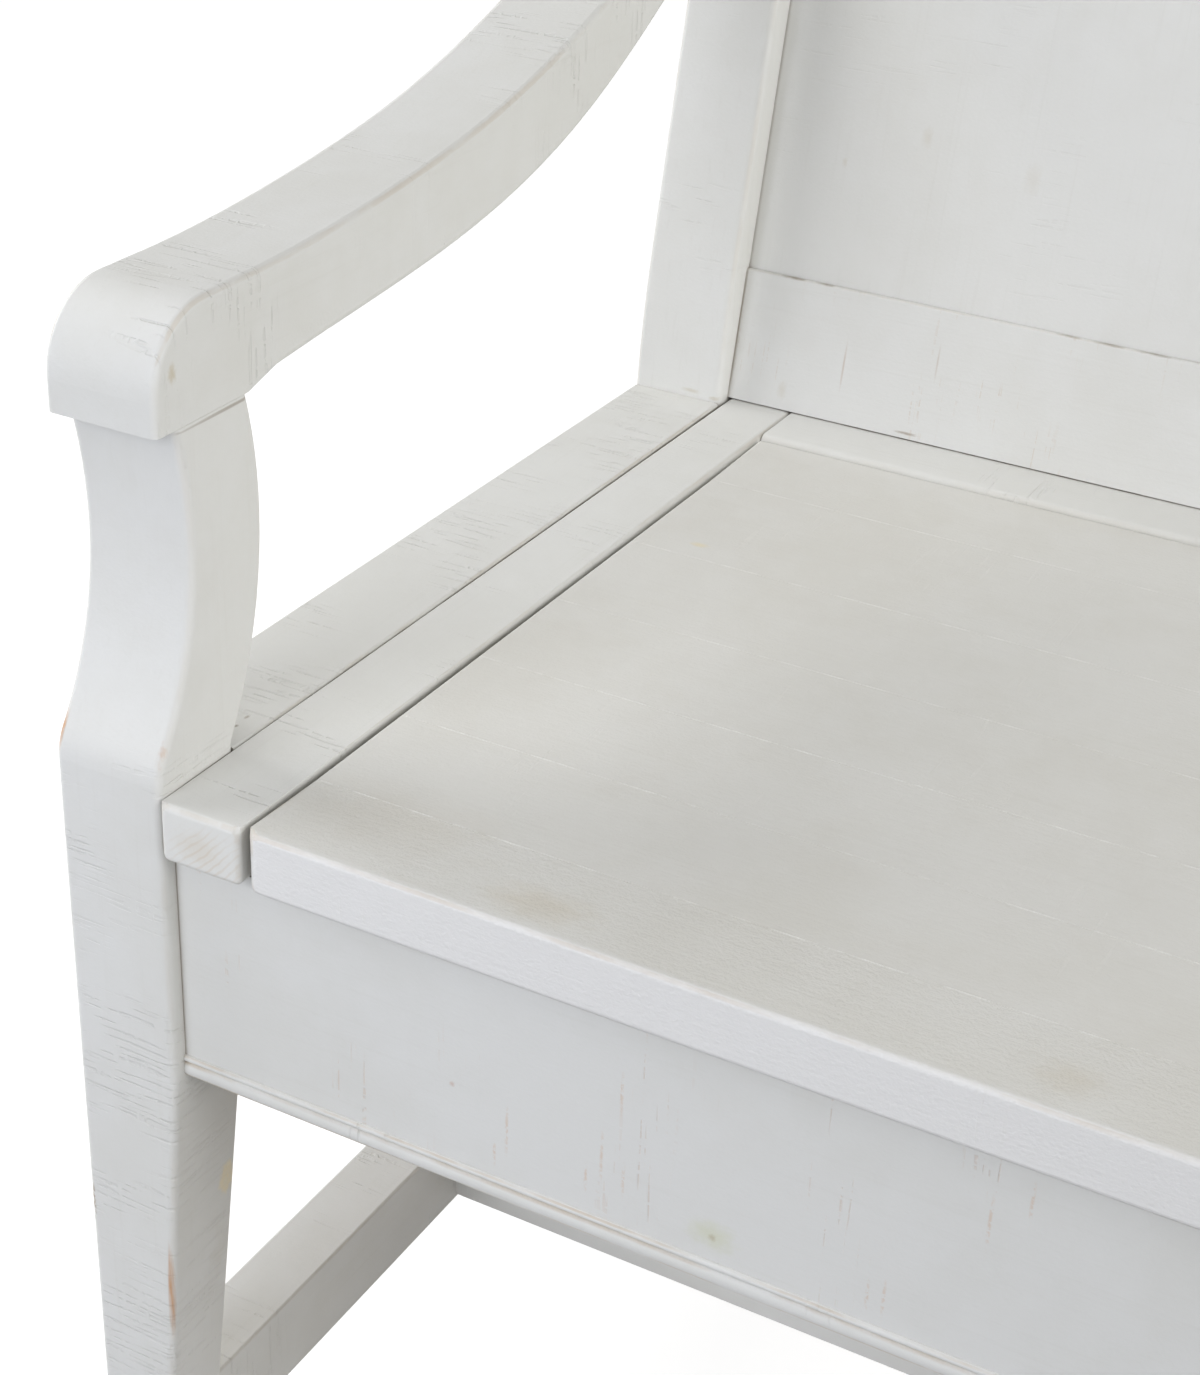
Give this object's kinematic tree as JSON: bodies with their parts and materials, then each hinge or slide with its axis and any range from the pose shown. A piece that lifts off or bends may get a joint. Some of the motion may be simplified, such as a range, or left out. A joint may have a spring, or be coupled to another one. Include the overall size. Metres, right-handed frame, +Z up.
{
  "type": "bench with back",
  "caption": "White painted wooden hall bench with raked panelled back, scrolled arms, tapered legs, stretchers and a lift-up plank seat over a storage box.",
  "frame": {"origin": "centre of the bounding box, at floor level under the four glides", "axes": "+X to the right of a person facing the bench, +Y from the front of the seat to the back, +Z up"},
  "size_m": [1.37, 0.6092, 0.99],
  "materials": {
    "white_paint": "satin off-white paint over wood, hand-rubbed through at the corners",
    "plain_wood": "planed, unfinished",
    "floor_panel": "plywood, unfinished",
    "dowel_wood": "turned, unfinished",
    "hinge_steel": "dull plated steel",
    "screw_steel": "zinc plated",
    "glide_plastic": "matte"
  },
  "bodies": {
    "frame": {"arm_dowels": "dowel_wood", "back_bottom_rail": "white_paint", "back_crest_rail": "white_paint", "floor_glides": "glide_plastic", "front_apron": "white_paint", "front_apron_bead": "white_paint", "front_floor_cleat": "plain_wood", "front_left_leg": "white_paint", "front_right_leg": "white_paint", "hinge_fixed_screws": "screw_steel", "left_arm": "white_paint", "left_back_muntin": "white_paint", "left_back_panel": "white_paint", "left_floor_cleat": "plain_wood", "left_hinge_fixed_leaf": "hinge_steel", "left_hinge_pin": "hinge_steel", "left_seat_strip": "white_paint", "left_side_apron": "white_paint", "left_side_cap": "white_paint", "left_side_stretcher": "white_paint", "left_strip_cleat": "plain_wood", "long_stretcher": "white_paint", "middle_back_panel": "white_paint", "middle_hinge_fixed_leaf": "hinge_steel", "middle_hinge_pin": "hinge_steel", "rear_apron": "white_paint", "rear_floor_cleat": "plain_wood", "rear_left_post": "white_paint", "rear_right_post": "white_paint", "rear_seat_strip": "white_paint", "right_arm": "white_paint", "right_back_muntin": "white_paint", "right_back_panel": "white_paint", "right_floor_cleat": "plain_wood", "right_hinge_fixed_leaf": "hinge_steel", "right_hinge_pin": "hinge_steel", "right_seat_strip": "white_paint", "right_side_apron": "white_paint", "right_side_cap": "white_paint", "right_side_stretcher": "white_paint", "right_strip_cleat": "plain_wood", "storage_floor": "floor_panel"},
    "lid": {"hinge_lid_screws": "screw_steel", "left_hinge_lid_leaf": "hinge_steel", "left_lid_batten": "plain_wood", "lid_batten_screws": "screw_steel", "lid_board_1": "white_paint", "lid_board_2": "white_paint", "lid_board_3": "white_paint", "lid_board_4": "white_paint", "lid_board_5": "white_paint", "lid_board_6": "white_paint", "lid_board_7": "white_paint", "middle_hinge_lid_leaf": "hinge_steel", "middle_lid_batten": "plain_wood", "right_hinge_lid_leaf": "hinge_steel", "right_lid_batten": "plain_wood"}
  },
  "joints": [
    {"name": "lid_hinge", "type": "hinge", "parent": "frame", "child": "lid", "pos_m": [0, 0.12474, 0.4716], "axis": [-1, 0, 0], "range_deg": [0, 105]}
  ]
}
